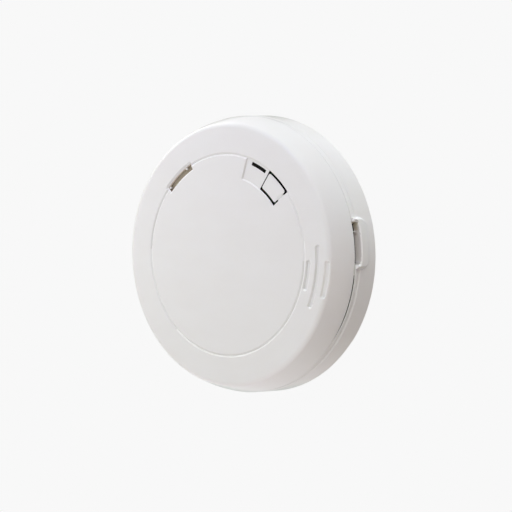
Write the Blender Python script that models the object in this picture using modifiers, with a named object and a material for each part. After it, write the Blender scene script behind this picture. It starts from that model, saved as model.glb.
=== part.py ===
"""Slim round smoke alarm with its twist-lock wall bracket.

Everything is drawn in a plate frame, in millimetres: x to the right and y up as seen
from the front, z out of the wall, with z = 0 on the wall. The empty wall_frame turns it
upright, so that the alarm looks along -Y and the wall is the plane y = 0.
Angles are in degrees, counter-clockwise from x as seen from the front.
"""
import math

import bmesh
import bpy
from mathutils import Vector

MM = 0.001
SHARP_ANGLE = 35

# ---- dimensions shared between pieces ----
Z_FRONT = 30.2                 # front face above the wall
Z_SEAM = 16.0                  # front cover's rim
LOCK_ANGLES = (60.0, 180.0, 300.0)
SCREW_ANGLES = (25.0, 100.0, 200.0, 290.0)
SCREW_R = 60.4
BOARD_Z = (10.4, 12.0)
MOUNT_Z = BOARD_Z[1] + 0.1     # underside of what stands on the board
BOARD_SCREWS = ((-48.0, -10.0), (42.0, -32.0), (6.0, 47.0))
HORN = (-25.5, 29.5)
CHAMBER = (22.0, -8.0)
BATTERY = (-17.0, -31.5)
BATTERY_R, BATTERY_L, BATTERY_Z = 8.4, 33.4, 17.2
TACT_R, TACT_ANGLE = 45.0, 45.0
POWER_AT = (8.0, 24.0)         # knob's place at the left end of its travel
POWER_TRAVEL = 4.0
POWER_MID_X = POWER_AT[0] + POWER_TRAVEL / 2

for old in list(bpy.data.objects):
    bpy.data.objects.remove(old, do_unlink=True)

parts = bpy.data.collections.new("smoke_alarm")
helpers = bpy.data.collections.new("cutters")
bpy.context.scene.collection.children.link(parts)
bpy.context.scene.collection.children.link(helpers)


# ---- materials ----
def make_material(name, color, roughness, metallic=0.0):
    material = bpy.data.materials.new(name)
    material.use_nodes = True
    inputs = material.node_tree.nodes["Principled BSDF"].inputs
    inputs["Base Color"].default_value = (*color, 1.0)
    inputs["Roughness"].default_value = roughness
    inputs["Metallic"].default_value = metallic
    return material


WHITE = make_material("white_shell_plastic", color=(0.84, 0.83, 0.82), roughness=0.45)
WHITE_IN = make_material("white_bracket_plastic", color=(0.80, 0.79, 0.77), roughness=0.5)
SMOKED = make_material("smoked_light_pipe", color=(0.03, 0.03, 0.03), roughness=0.2)
GREEN = make_material("board_green", color=(0.03, 0.20, 0.09), roughness=0.45)
BLACK = make_material("black_plastic", color=(0.02, 0.02, 0.02), roughness=0.5)
STEEL = make_material("zinc_steel", color=(0.62, 0.62, 0.60), roughness=0.35, metallic=1.0)
NICKEL = make_material("nickel_strip", color=(0.70, 0.68, 0.63), roughness=0.3, metallic=1.0)
BRASS = make_material("brass_disc", color=(0.72, 0.53, 0.22), roughness=0.3, metallic=1.0)
CERAMIC = make_material("piezo_ceramic", color=(0.75, 0.73, 0.68), roughness=0.6)
COPPER = make_material("copper_winding", color=(0.55, 0.25, 0.10), roughness=0.35, metallic=1.0)
CELL = make_material("cell_sleeve", color=(0.10, 0.16, 0.30), roughness=0.35)
CLEAR = make_material("led_epoxy", color=(0.70, 0.75, 0.75), roughness=0.15)
DARK_LENS = make_material("infrared_epoxy", color=(0.06, 0.03, 0.07), roughness=0.15)
SLEEVE = make_material("capacitor_sleeve", color=(0.06, 0.07, 0.09), roughness=0.35)


# ---- placing objects ----
def place(thing, parent, at, turn):
    thing.parent = parent
    thing.location = Vector(at) * MM
    thing.rotation_euler = [math.radians(angle) for angle in turn]
    return thing


def add_empty(name, parent=None, at=(0, 0, 0), turn=(0, 0, 0)):
    axis = bpy.data.objects.new(name, None)
    parts.objects.link(axis)
    return place(axis, parent, at, turn)


FRAME = add_empty("wall_frame", turn=(90, 0, 0))
ALARM = add_empty("twist_axis", FRAME)


def add_object(name, data, material, parent, at=(0, 0, 0), turn=(0, 0, 0)):
    """Add a piece of the alarm or, where there is no material, a hidden boolean helper."""
    thing = bpy.data.objects.new(name, data)
    if material:
        parts.objects.link(thing)
        data.materials.append(material)
    else:
        helpers.objects.link(thing)
        thing.hide_render = True
        thing.display_type = "WIRE"
    return place(thing, parent, at, turn)


# ---- outlines ----
def polar(radius, degrees, centre=(0, 0)):
    angle = math.radians(degrees)
    return (centre[0] + radius * math.cos(angle), centre[1] + radius * math.sin(angle))


def spread(start, end, step):
    """Evenly spaced angles from start to end, no more than a step apart."""
    count = max(2, math.ceil((end - start) / step))
    return [start + (end - start) * i / count for i in range(count + 1)]


def sector(inner, outer, start, end, step=2.5):
    """Outline of a piece of a ring."""
    angles = spread(start, end, step)
    return [polar(outer, a) for a in angles] + [polar(inner, a) for a in reversed(angles)]


def arc_slot(radius, start, end, width, step=2.5):
    """Outline of a slot along an arc, with round ends. The angles are those of its tips."""
    half = width / 2
    tip = math.degrees(half / radius)
    first, last = start + tip, end - tip
    angles = spread(first, last, step)

    def round_end(angle, facing):
        centre = polar(radius, angle)
        return [polar(half, angle + facing + 180 * k / 6, centre) for k in range(1, 6)]

    return (
        [polar(radius + half, a) for a in angles]
        + round_end(last, 0)
        + [polar(radius - half, a) for a in reversed(angles)]
        + round_end(first, 180)
    )


def circle(radius, count, centre=(0, 0)):
    turns = [2 * math.pi * i / count for i in range(count)]
    return [(centre[0] + radius * math.cos(t), centre[1] + radius * math.sin(t)) for t in turns]


# ---- solids, in millimetres ----
def to_mesh(name, shape):
    mesh = bpy.data.meshes.new(name)
    shape.to_mesh(mesh)
    shape.free()
    return mesh


def rod(name, radius, length, centre, material=None, parent=ALARM, segments=24, turn=(0, 0, 0)):
    """A cylinder about its centre, along z before it is turned."""
    shape = bmesh.new()
    bmesh.ops.create_cone(
        shape, cap_ends=True, segments=segments,
        radius1=radius * MM, radius2=radius * MM, depth=length * MM,
    )
    return add_object(name, to_mesh(name, shape), material, parent, centre, turn)


def cylinder(name, radius, z_range, at, segments, material=None, parent=ALARM):
    bottom, top = z_range
    centre = (*at, (bottom + top) / 2)
    return rod(name, radius, top - bottom, centre, material, parent, segments)


def box(name, size, centre, material=None, parent=ALARM, turn=0.0, bevel=0.0):
    shape = bmesh.new()
    bmesh.ops.create_cube(shape, size=1.0)
    bmesh.ops.scale(shape, vec=Vector(size) * MM, verts=shape.verts)
    if bevel:
        bmesh.ops.bevel(
            shape, geom=shape.edges[:], offset=bevel * MM, segments=1, affect="EDGES"
        )
    return add_object(name, to_mesh(name, shape), material, parent, centre, (0, 0, turn))


def turned(name, profile, material, segments, parent=ALARM,
           at=(0, 0, 0), turn=(0, 0, 0), closed=False):
    """A profile of (radius, z) turned about z: top, outer side, bottom, or a closed ring."""
    shape = bmesh.new()
    points = [shape.verts.new((radius * MM, 0, z * MM)) for radius, z in profile]
    for start, end in zip(points, points[1:]):
        shape.edges.new((start, end))
    if closed:
        shape.edges.new((points[-1], points[0]))
    piece = add_object(name, to_mesh(name, shape), material, parent, at, turn)
    screw = piece.modifiers.new("turn", "SCREW")
    screw.axis = "Z"
    screw.angle = 2 * math.pi
    screw.steps = screw.render_steps = segments
    screw.use_merge_vertices = True
    screw.merge_threshold = 0.00001
    screw.use_smooth_shade = True
    return piece


def plate(name, outline, z_range, material=None, parent=ALARM, holes=()):
    """A flat outline, with any holes, given thickness over the z range."""
    bottom, top = z_range
    curve = bpy.data.curves.new(name, "CURVE")
    curve.dimensions = "2D"
    curve.fill_mode = "BOTH"
    curve.extrude = (top - bottom) / 2 * MM
    for ring in (outline, *holes):
        spline = curve.splines.new("POLY")
        spline.points.add(len(ring) - 1)
        for point, (x, y) in zip(spline.points, ring):
            point.co = (x * MM, y * MM, 0, 1)
        spline.use_cyclic_u = True
    filled = bpy.data.objects.new(name + "_outline", curve)
    helpers.objects.link(filled)
    bpy.context.view_layer.update()
    graph = bpy.context.evaluated_depsgraph_get()
    mesh = bpy.data.meshes.new_from_object(filled.evaluated_get(graph))
    mesh.name = name
    bpy.data.objects.remove(filled)
    # the caps and the sides come unjoined: weld them into one solid
    shape = bmesh.new()
    shape.from_mesh(mesh)
    bmesh.ops.remove_doubles(shape, verts=shape.verts, dist=0.000002)
    bmesh.ops.recalc_face_normals(shape, faces=shape.faces)
    shape.to_mesh(mesh)
    shape.free()
    return add_object(name, mesh, material, parent, (0, 0, (bottom + top) / 2))


def boolean(piece, operation, tools):
    for tool in tools:
        modifier = piece.modifiers.new(operation.lower() + "_" + tool.name, "BOOLEAN")
        modifier.operation = operation
        modifier.solver = "EXACT"
        modifier.object = tool


def cut(piece, *tools):
    boolean(piece, "DIFFERENCE", tools)


def join(piece, *tools):
    boolean(piece, "UNION", tools)


# ======================================================================
# wall bracket, fixed to the wall
# ======================================================================
BRACKET_PROFILE = [  # radius, z
    (0, 1.8), (13.8, 1.8), (14.0, 3.2), (15.6, 3.2), (15.8, 1.8),
    (62.4, 1.8), (62.7, 3.6), (64.5, 3.6), (64.5, 0.0), (0, 0.0),
]
TAB_RADII, TAB_HALF, TAB_Z = (63.37, 68.5), 6.7, (2.3, 3.4)
WINDOW_RADII, WINDOW_HALF, WINDOW_Z = (19, 40), 38, (-1, 4)
BRACKET_CUT_Z = (-1, 4.4)
SLOT_R, SLOT_W, SLOT_STEP = 52.0, 4.6, 4
SCREW_SLOT_HALF, STRAIGHT_SLOT_HALF = 13, 7
KEY_R, KEY_SHIFT = 4.6, 10     # round opening for a screw's head, near the slot's end
TONGUE_GAPS = (  # inner radius, outer radius, start angle, end angle
    (56.6, 57.8, 150, 172),
    (60.2, 61.4, 150, 172),
    (57.2, 60.8, 170.4, 171.7),
)


def build_bracket():
    bracket = turned("mounting_bracket", BRACKET_PROFILE, WHITE_IN, 72, parent=FRAME)

    def cut_outline(name, outline, z_range=BRACKET_CUT_Z):
        cut(bracket, plate(name, outline, z_range, parent=FRAME))

    for i, a in enumerate(LOCK_ANGLES, 1):
        outline = sector(*TAB_RADII, a - TAB_HALF, a + TAB_HALF)
        join(bracket, plate(f"lock_tab_{i}", outline, TAB_Z, parent=FRAME))
    for i, a in enumerate((90, 210, 330), 1):
        window = sector(*WINDOW_RADII, a - WINDOW_HALF, a + WINDOW_HALF, 5)
        cut_outline(f"cable_window_{i}", window, WINDOW_Z)
    for i, a in enumerate((30, 210), 1):
        slot = arc_slot(SLOT_R, a - SCREW_SLOT_HALF, a + SCREW_SLOT_HALF, SLOT_W, SLOT_STEP)
        cut_outline(f"screw_slot_{i}", slot)
        key_at = polar(SLOT_R, a + KEY_SHIFT)
        cut(bracket, cylinder(f"screw_key_{i}", KEY_R, BRACKET_CUT_Z, key_at, 20, parent=FRAME))
    for i, a in enumerate((121.3, 301.3), 1):
        slot = arc_slot(
            SLOT_R, a - STRAIGHT_SLOT_HALF, a + STRAIGHT_SLOT_HALF, SLOT_W, SLOT_STEP
        )
        cut_outline(f"straight_slot_{i}", slot)
    # the springy tongue that clicks the alarm home
    for i, gap in enumerate(TONGUE_GAPS, 1):
        cut_outline(f"tongue_gap_{i}", sector(*gap, 4))


# ======================================================================
# rear housing
# ======================================================================
R_RING = 70.45                 # rear skirt, the widest part of the turned profile
SEAM_GAP = 0.7
LEDGE_Z = Z_SEAM - SEAM_GAP    # ledge just behind the cover's rim
REAR_PROFILE = [  # radius, z
    (0, 6.6), (65.3, 6.6), (65.3, 18.6), (66.8, 18.6), (66.8, LEDGE_Z), (69.3, LEDGE_Z),
    (69.6, 15.0), (69.6, 12.9), (69.8, 12.0), (70.1, 11.4), (R_RING, 1.2), (70.3, 0.4),
    (69.2, 0.4), (69.2, 13.2), (67.1, 13.2), (67.1, 4.6), (0, 4.6),
]
LUG_RADII, LUG_HALF, LUG_Z = (65.6, 70.0), 6.5, (0.6, 1.9)
INLET_ANGLES = (5.5, 125.5, 245.5)
INLET_HALF = 8.2
INLET_SHAPES = (  # a raised rim on the skirt, a mouth under the seam, a way through the wall
    # name, operation, radii, angle beyond INLET_HALF at each end, z range
    ("rim", join, (69.35, 71.8), 1.9, (9.4, 14.9)),
    ("mouth", cut, (67.3, 74.0), 0.0, (12.5, 17.0)),
    ("inner", cut, (64.0, 67.6), -0.7, (14.4, 20.0)),
)
SCREW_SEAT = (  # name, operation, radius, z range, segments
    ("screw_cup", join, 4.5, (6.0, 9.0), 20),
    ("screw_well", cut, 3.1, (3.0, 7.2), 20),
    ("screw_way", cut, 1.7, (3.0, 12.0), 16),
)
STANDOFF = (  # name, operation, radius, z range, segments
    ("standoff", join, 2.8, (6.0, 10.2), 16),
    ("standoff_hole", cut, 1.05, (7.4, 12.0), 12),
)
SADDLE_SIZE, SADDLE_X, SADDLE_Z = (2.0, 15.0, 5.0), 9.0, 8.6
CRADLE_CLEARANCE, CRADLE_L = 0.35, 30
KNOB_WINDOW_SIZE, KNOB_WINDOW_Z = (POWER_TRAVEL + 6.4, 4.2, 6.0), 5.6
LABEL_R, LABEL_AT, LABEL_Z = 33.0, (0, -14), (3.0, 4.9)


def add_round_features(piece, table, places):
    """At each place, work every cylinder of the table into the piece in turn."""
    for i, at in enumerate(places, 1):
        for name, operation, radius, z_range, segments in table:
            operation(piece, cylinder(f"{name}_{i}", radius, z_range, at, segments))


def screw_places():
    return [polar(SCREW_R, a) for a in SCREW_ANGLES]


def build_rear():
    rear = turned("rear_housing", REAR_PROFILE, WHITE, 72)
    for i, a in enumerate(LOCK_ANGLES, 1):
        outline = sector(*LUG_RADII, a - LUG_HALF, a + LUG_HALF)
        join(rear, plate(f"lock_lug_{i}", outline, LUG_Z))
    # air inlets
    for i, a in enumerate(INLET_ANGLES, 1):
        for name, operation, radii, margin, z_range in INLET_SHAPES:
            outline = sector(*radii, a - INLET_HALF - margin, a + INLET_HALF + margin)
            operation(rear, plate(f"inlet_{name}_{i}", outline, z_range))
    add_round_features(rear, SCREW_SEAT, screw_places())
    add_round_features(rear, STANDOFF, BOARD_SCREWS)
    # battery cradle: two saddles, hollowed to the cell's round
    for i, side in enumerate((-1, 1), 1):
        centre = (BATTERY[0] + side * SADDLE_X, BATTERY[1], SADDLE_Z)
        join(rear, box(f"cradle_{i}", SADDLE_SIZE, centre))
    cut(rear, rod(
        "cradle_round", BATTERY_R + CRADLE_CLEARANCE, CRADLE_L, (*BATTERY, BATTERY_Z),
        segments=32, turn=(0, 90, 0),
    ))
    # window for the power switch's knob
    window_at = (POWER_MID_X, POWER_AT[1], KNOB_WINDOW_Z)
    cut(rear, box("power_window", KNOB_WINDOW_SIZE, window_at))
    # label recess on the back
    cut(rear, cylinder("label_recess", LABEL_R, LABEL_Z, LABEL_AT, 64))


# ======================================================================
# front cover
# ======================================================================
R_SEAM = 69.45                 # rim of the front cover
WALL = 2.0
R_FLAT = 62.8                  # flat part of the face
R_EDGE = 3.0                   # rounding of the face's edge
DRAFT = 17.5                   # outward lean of the wall below that edge
EDGE_STEPS = 5
R_CIRCLE = 50.0                # centre line of the circular groove
CIRCLE_W, CIRCLE_D = 1.3, 0.6
COVER_POST = (  # name, operation, radius, z range, segments
    ("cover_post", join, 3.3, (9.3, 29.0), 16),
    ("cover_post_bore", cut, 1.55, (8.0, 19.5), 12),
)
OPEN_Z = 33.0                  # top of the cutters, clear of the face
POCKET_D = 0.8
THROUGH_Z = (20.0, OPEN_Z)
COVER_OPENINGS = (  # name, (inner radius, outer radius, start angle, end angle), z range
    ("pocket", (39.0, 50.2, 37.6, 73.2), (Z_FRONT - POCKET_D, OPEN_Z)),  # around the button
    ("button_hole", (39.2, 50.8, 37.9, 55.5), THROUGH_Z),
    ("light_slot", (47.25, 49.0, 57.6, 69.1), THROUGH_Z),
    ("horn_slot", (47.2, 51.0, 116.8, 137.6), THROUGH_Z),
)
GRIP_GROOVES = (  # radius, start angle, end angle
    (52.4, -17.6, -1.3),
    (57.9, -24.6, 6.0),
    (63.3, -17.6, -1.1),
)
GRIP_W, GRIP_D = 2.2, 0.9


def cover_profile():
    groove = [
        (R_CIRCLE - CIRCLE_W / 2, Z_FRONT),
        (R_CIRCLE, Z_FRONT - CIRCLE_D),
        (R_CIRCLE + CIRCLE_W / 2, Z_FRONT),
    ]
    edge = []
    for k in range(EDGE_STEPS + 1):
        lean = math.radians((90 - DRAFT) * k / EDGE_STEPS)
        edge.append((
            R_FLAT + R_EDGE * math.sin(lean),
            Z_FRONT - R_EDGE * (1 - math.cos(lean)),
        ))
    rim = [(R_SEAM, Z_SEAM + 0.4), (R_SEAM - 0.3, Z_SEAM), (67.25, Z_SEAM)]
    inside = [
        (67.0, 19.0), (65.75, 23.6), (63.9, 26.8), (61.6, Z_FRONT - WALL), (0, Z_FRONT - WALL),
    ]
    return [(0, Z_FRONT)] + groove + edge + rim + inside


def build_cover():
    cover = turned("front_cover", cover_profile(), WHITE, 72)
    add_round_features(cover, COVER_POST, screw_places())
    for name, bounds, z_range in COVER_OPENINGS:
        cut(cover, plate(name, sector(*bounds), z_range))
    for i, (radius, start, end) in enumerate(GRIP_GROOVES, 1):
        outline = arc_slot(radius, start, end, GRIP_W)
        cut(cover, plate(f"grip_groove_{i}", outline, (Z_FRONT - GRIP_D, OPEN_Z)))


# ======================================================================
# test and silence button on its living hinge
# ======================================================================
# sectors: inner radius, outer radius, start angle, end angle
BUTTON, BUTTON_Z = (40.0, 49.6, 39.05, 54.65), (27.6, 29.6)
STRAP, STRAP_Z = (42.4, 47.5, 38.1, 39.5), (27.9, 29.0)
HINGE = (*polar(44.95, 38.75), 28.9)
POST_R, POST_Z = 1.7, (18.3, 28.2)
RIB_SIZE, RIB_Z = (7.0, 1.0, 3.4), 26.6


def build_button():
    axis = add_empty("button_hinge_axis", ALARM, HINGE)
    hinge_x, hinge_y, hinge_z = HINGE

    def hinge_plate(name, bounds, step, z_range, material=None):
        outline = [(x - hinge_x, y - hinge_y) for x, y in sector(*bounds, step)]
        return plate(name, outline, [z - hinge_z for z in z_range], material, axis)

    button = hinge_plate("test_button", BUTTON, 2.5, BUTTON_Z, WHITE)
    strap = hinge_plate("button_strap", STRAP, 1.0, STRAP_Z)
    # the post reaches back to the tactile switch
    tact_x, tact_y = polar(TACT_R, TACT_ANGLE)
    post_at = (tact_x - hinge_x, tact_y - hinge_y)
    post_z = [z - hinge_z for z in POST_Z]
    post = cylinder("button_post", POST_R, post_z, post_at, 16, parent=axis)
    rib_at = (*post_at, RIB_Z - hinge_z)
    rib = box("button_rib", RIB_SIZE, rib_at, parent=axis, turn=TACT_ANGLE)
    join(button, strap, post, rib)


# ======================================================================
# circuit board and screws
# ======================================================================
BOARD_R = 56.0
CELL_GAP_X, CELL_GAP_Y = 1.8, 0.6      # board opening around the cell
BOARD_SCREW_HOLE_R, CHAMBER_HOLE_R = 1.3, 7.0
BOARD_SCREW_PROFILE = [  # radius, z; the head is at the front
    (0, 13.7), (1.4, 13.6), (2.2, 13.1), (2.3, 12.1), (0.95, 12.1), (0.95, 8.2), (0, 7.8),
]
COVER_SCREW_PROFILE = [  # radius, z; the head is at the back
    (0, 17.6), (1.0, 16.6), (1.35, 15.6), (1.35, 7.0),
    (2.7, 7.0), (2.7, 5.9), (1.9, 5.2), (0, 5.0),
]
CROSS_D = 2.0


def build_board():
    x, y = BATTERY
    half_x = BATTERY_L / 2 + CELL_GAP_X
    half_y = BATTERY_R + CELL_GAP_Y
    corners = ((-1, -1), (1, -1), (1, 1), (-1, 1))
    holes = [[(x + i * half_x, y + j * half_y) for i, j in corners]]
    holes += [circle(BOARD_SCREW_HOLE_R, 12, at) for at in BOARD_SCREWS]
    holes.append(circle(CHAMBER_HOLE_R, 24, CHAMBER))
    plate("circuit_board", circle(BOARD_R, 72), BOARD_Z, GREEN, holes=holes)


def build_screws(kind, places, profile, cross_length, cross_width, cross_z):
    for i, (x, y) in enumerate(places, 1):
        screw = turned(f"{kind}_{i}", profile, STEEL, 16, at=(x, y, 0))
        centre = (x, y, cross_z)
        cut(
            screw,
            box(f"{kind}_cross_{i}a", (cross_length, cross_width, CROSS_D), centre),
            box(f"{kind}_cross_{i}b", (cross_width, cross_length, CROSS_D), centre),
        )


# ======================================================================
# parts on the board
# ======================================================================
CHIP_AT = (-8.0, -8.0)
CHIP_SIZE, CHIP_RISE = (10.2, 6.4, 1.9), 1.25
LEG_COUNT, LEG_PITCH = 6, 1.6
LEG_SIZE, LEG_RISE = (0.5, 9.4, 0.5), 0.75
FOOT_SIZE, FOOT_RISE, FOOT_Y = (0.5, 1.0, 0.8), 0.6, 4.4
CAPACITOR_AT = (-2.0, 14.0, 0)
CAPACITOR_PROFILE = [  # radius, height above MOUNT_Z
    (0, 10.0), (3.4, 10.0), (4.0, 9.5), (4.0, 1.4), (3.7, 1.1), (4.0, 0.8), (4.0, 0), (0, 0),
]
COIL_AT = (8.0, 34.0, 0)
COIL_PROFILE = [  # radius, height above MOUNT_Z
    (0, 7.6), (4.6, 7.6), (4.6, 6.4), (3.6, 6.2), (3.6, 1.4), (4.6, 1.2), (4.6, 0), (0, 0),
]
TACT_SIZE = (6.0, 6.0, 3.4)
TACT_BORE_R, TACT_BORE_RISE = 1.95, (1.0, 6)
PLUNGER_FOOT_Z = MOUNT_Z + 1.6
PLUNGER_PROFILE = [  # radius, z
    (0, 18.0), (1.4, 18.0), (1.75, 17.7), (1.75, PLUNGER_FOOT_Z), (0, PLUNGER_FOOT_Z),
]
LED_AT = (*polar(48.2, 63.0), 0)
LED_PROFILE = [  # radius, height above MOUNT_Z
    (0, 5.0), (0.8, 4.8), (1.3, 4.2), (1.5, 3.4), (1.5, 0.9), (1.9, 0.9), (1.9, 0), (0, 0),
]
# sectors: inner radius, outer radius, start angle, end angle
PIPE, PIPE_Z = (47.5, 48.8, 57.9, 68.8), (18.0, 28.9)
FLANGE, FLANGE_Z = (46.6, 49.9, 57.0, 69.6), (26.6, 27.9)


def on_board(profile):
    return [(radius, MOUNT_Z + height) for radius, height in profile]


def build_chip():
    """Controller chip with two rows of legs."""
    chip_x, chip_y = CHIP_AT
    chip = box("controller_chip", CHIP_SIZE, (*CHIP_AT, MOUNT_Z + CHIP_RISE), BLACK, bevel=0.25)
    for k in range(LEG_COUNT):
        x = chip_x + LEG_PITCH * (k - (LEG_COUNT - 1) / 2)
        join(chip, box(f"chip_leg_{k + 1}", LEG_SIZE, (x, chip_y, MOUNT_Z + LEG_RISE)))
        for row, y in (("a", chip_y - FOOT_Y), ("b", chip_y + FOOT_Y)):
            foot_at = (x, y, MOUNT_Z + FOOT_RISE)
            join(chip, box(f"chip_foot_{k + 1}{row}", FOOT_SIZE, foot_at))


def build_capacitor_and_coil():
    turned("storage_capacitor", on_board(CAPACITOR_PROFILE), SLEEVE, 28, at=CAPACITOR_AT)
    turned("horn_coil", on_board(COIL_PROFILE), COPPER, 28, at=COIL_AT)


def build_tact_switch():
    """Tactile switch under the button."""
    at = polar(TACT_R, TACT_ANGLE)
    centre = (*at, MOUNT_Z + TACT_SIZE[2] / 2)
    body = box("tact_switch_body", TACT_SIZE, centre, BLACK, turn=TACT_ANGLE, bevel=0.2)
    bore_z = [MOUNT_Z + rise for rise in TACT_BORE_RISE]
    cut(body, cylinder("tact_bore", TACT_BORE_R, bore_z, at, 20))
    axis = add_empty("plunger_axis", ALARM, (*at, 0))
    turned("tact_switch_plunger", PLUNGER_PROFILE, BLACK, 20, parent=axis)


def build_status_light():
    turned("status_led", on_board(LED_PROFILE), CLEAR, 20, at=LED_AT)
    pipe = plate("light_pipe", sector(*PIPE), PIPE_Z, SMOKED)
    join(pipe, plate("light_pipe_flange", sector(*FLANGE), FLANGE_Z))


# ======================================================================
# power switch: can on the back of the board, knob through the rear housing
# ======================================================================
CAN_SIZE, CAN_Z = (12.0, 5.4, 3.0), 8.7
CAN_SLOT_SIZE, CAN_SLOT_Z = (POWER_TRAVEL + 2.6, 1.9, 2.6), 7.6
KNOB_SIZE, KNOB_Z = (5.2, 3.2, 2.2), 5.4
STEM_SIZE, STEM_Z = (2.0, 1.4, 3.3), 7.0
KNOB_GRIP_SIZE, KNOB_GRIP_Z, KNOB_GRIP_PITCH = (0.5, 4.0, 0.8), 4.4, 1.2


def build_power_switch():
    y = POWER_AT[1]
    can = box("power_switch_can", CAN_SIZE, (POWER_MID_X, y, CAN_Z), STEEL, bevel=0.15)
    cut(can, box("can_slot", CAN_SLOT_SIZE, (POWER_MID_X, y, CAN_SLOT_Z)))
    axis = add_empty("power_slider_axis", ALARM, (*POWER_AT, 0))
    knob = box("power_switch_knob", KNOB_SIZE, (0, 0, KNOB_Z), BLACK, axis, bevel=0.25)
    join(knob, box("knob_stem", STEM_SIZE, (0, 0, STEM_Z), parent=axis))
    for k in range(3):
        centre = (KNOB_GRIP_PITCH * (k - 1), 0, KNOB_GRIP_Z)
        cut(knob, box(f"knob_grip_{k + 1}", KNOB_GRIP_SIZE, centre, parent=axis))


# ======================================================================
# horn
# ======================================================================
HORN_PROFILE = [  # radius, z
    (0, 27.9), (19.6, 27.9), (20.4, 27.1), (20.4, 12.2), (18.9, 12.2),
    (18.9, 17.2), (17.4, 17.2), (17.4, 26.5), (0, 26.5),
]
OUTLET, OUTLET_Z = (47.4, 48.3, 117.6, 136.8), (24.0, 30.0)
DISC_R, DISC_Z = 18.5, (16.6, 16.9)
CERAMIC_R, CERAMIC_Z = 13.0, (16.2, 16.5)
RETAINER_PROFILE = [  # radius, z
    (16.6, 16.4), (18.6, 16.4), (18.6, 12.3), (17.4, 12.3), (17.4, 15.2), (16.6, 15.2),
]
SPRING_R, SPRING_WIRE_R = 1.1, 0.2
SPRING_TURNS, SPRING_STEPS = 4.5, 8    # steps are per turn
SPRINGS = (  # name, x and y from the horn's centre, top z
    ("centre", 0, 0, 16.1),
    ("feedback", -9.5, -5.5, 16.1),
    ("rim", 15.0, -3.0, 16.5),
)


def build_horn():
    at = (*HORN, 0)
    housing = turned("horn_housing", HORN_PROFILE, WHITE_IN, 48, at=at)
    cut(housing, plate("horn_outlet", sector(*OUTLET), OUTLET_Z))
    cylinder("piezo_disc", DISC_R, DISC_Z, HORN, 48, BRASS)
    cylinder("piezo_ceramic", CERAMIC_R, CERAMIC_Z, HORN, 40, CERAMIC)
    turned("horn_retaining_ring", RETAINER_PROFILE, WHITE_IN, 48, at=at, closed=True)
    for name, x, y, top in SPRINGS:
        build_spring(f"piezo_spring_{name}", (HORN[0] + x, HORN[1] + y, 0), top)


def build_spring(name, at, top):
    """A small contact spring between the board and the disc."""
    curve = bpy.data.curves.new(name, "CURVE")
    curve.dimensions = "3D"
    curve.bevel_depth = SPRING_WIRE_R * MM
    curve.bevel_resolution = 0
    curve.use_fill_caps = True
    count = int(SPRING_TURNS * SPRING_STEPS)
    bottom = MOUNT_Z + SPRING_WIRE_R
    rise = top - MOUNT_Z - 2 * SPRING_WIRE_R
    spline = curve.splines.new("POLY")
    spline.points.add(count)
    for i, point in enumerate(spline.points):
        angle = 2 * math.pi * SPRING_TURNS * (i / count)
        x = SPRING_R * math.cos(angle)
        y = SPRING_R * math.sin(angle)
        point.co = (x * MM, y * MM, (bottom + rise * (i / count)) * MM, 1)
    add_object(name, curve, NICKEL, ALARM, at)


# ======================================================================
# optical chamber
# ======================================================================
CHAMBER_R = 22.0
BASE_PROFILE = [  # radius, z
    (0, 13.6), (20.2, 13.6), (20.2, 15.0), (CHAMBER_R, 15.0), (CHAMBER_R, 12.3), (0, 12.3),
]
CAP_PROFILE = [  # radius, z
    (0, 26.2), (21.2, 26.2), (CHAMBER_R, 25.5), (CHAMBER_R, 23.4),
    (20.2, 23.4), (20.2, 24.6), (0, 24.6),
]
SCREEN_PROFILE = [(20.9, 23.2), (21.5, 23.2), (21.5, 15.2), (20.9, 15.2)]  # radius, z
EMITTER_ANGLE, RECEIVER_ANGLE = 205.0, 335.0
TUNNEL_OFFSET, TUNNEL_SIZE, TUNNEL_Z = 11.6, (8.0, 7.4, 7.6), 17.0
BORE_R, BORE_L = 2.65, 16
OPTIC_OFFSET, OPTIC_Z = 12.0, 17.6
OPTIC_PROFILE = [  # radius, distance along the optic towards its round tip
    (0, 4.2), (1.2, 3.9), (2.1, 3.0), (2.45, 1.9), (2.45, -2.6), (0, -2.6),
]
VANE_COUNT, VANE_OFFSET, VANE_TURN = 14, 18.2, 48
VANE_SIZE, VANE_Z = (4.2, 0.8, 11.2), 19.4
# each bar crosses the whole screen, so it opens two windows
SCREEN_BARS, SCREEN_BAR_SIZE, SCREEN_BAR_Z = 10, (60.0, 3.4, 5.4), 19.2


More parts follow.
